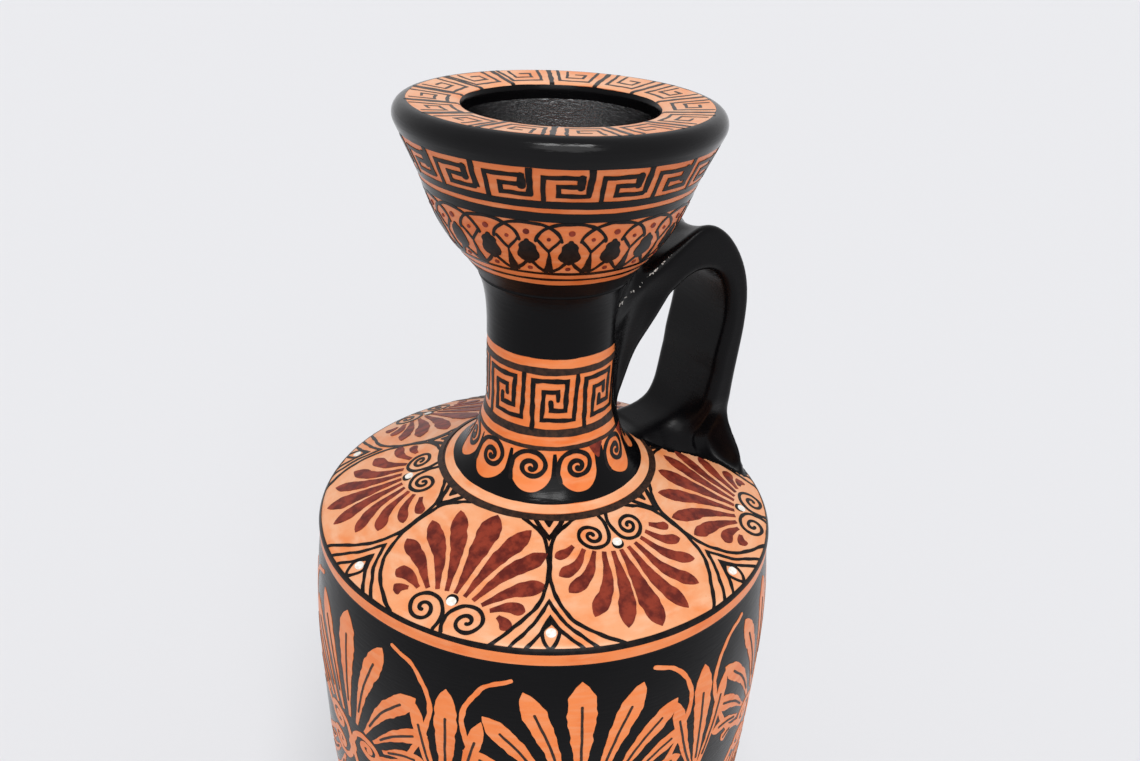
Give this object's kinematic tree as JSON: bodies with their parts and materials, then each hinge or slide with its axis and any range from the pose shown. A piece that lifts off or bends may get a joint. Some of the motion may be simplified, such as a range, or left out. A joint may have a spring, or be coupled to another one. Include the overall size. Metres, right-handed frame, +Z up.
{
  "type": "lekythos",
  "caption": "Tall one-handled oil vessel of painted clay: disc foot, swelling body, flat conical shoulder, narrow neck, deep cup mouth and strap handle.",
  "frame": {"origin": "on the wheel axis, on the plane that the foot stands on", "axes": "+Z up along the wheel axis; the handle lies in the XZ plane, towards +X"},
  "size_m": [0.1078, 0.1078, 0.2804],
  "materials": {
    "black_slipped_clay": "satin black slip, fired and burnished",
    "orange_painted_clay": "satin orange clay with black slip ornament",
    "luting_slip": "fired slip"
  },
  "bodies": {
    "root": {"foot": "black_slipped_clay", "body": "black_slipped_clay", "handle": "black_slipped_clay", "shoulder": "orange_painted_clay", "neck": "orange_painted_clay", "mouth": "orange_painted_clay", "foot_luting": "luting_slip", "shoulder_luting": "luting_slip", "neck_luting": "luting_slip", "mouth_luting": "luting_slip", "handle_root_luting": "luting_slip", "handle_foot_luting": "luting_slip"}
  },
  "joints": []
}
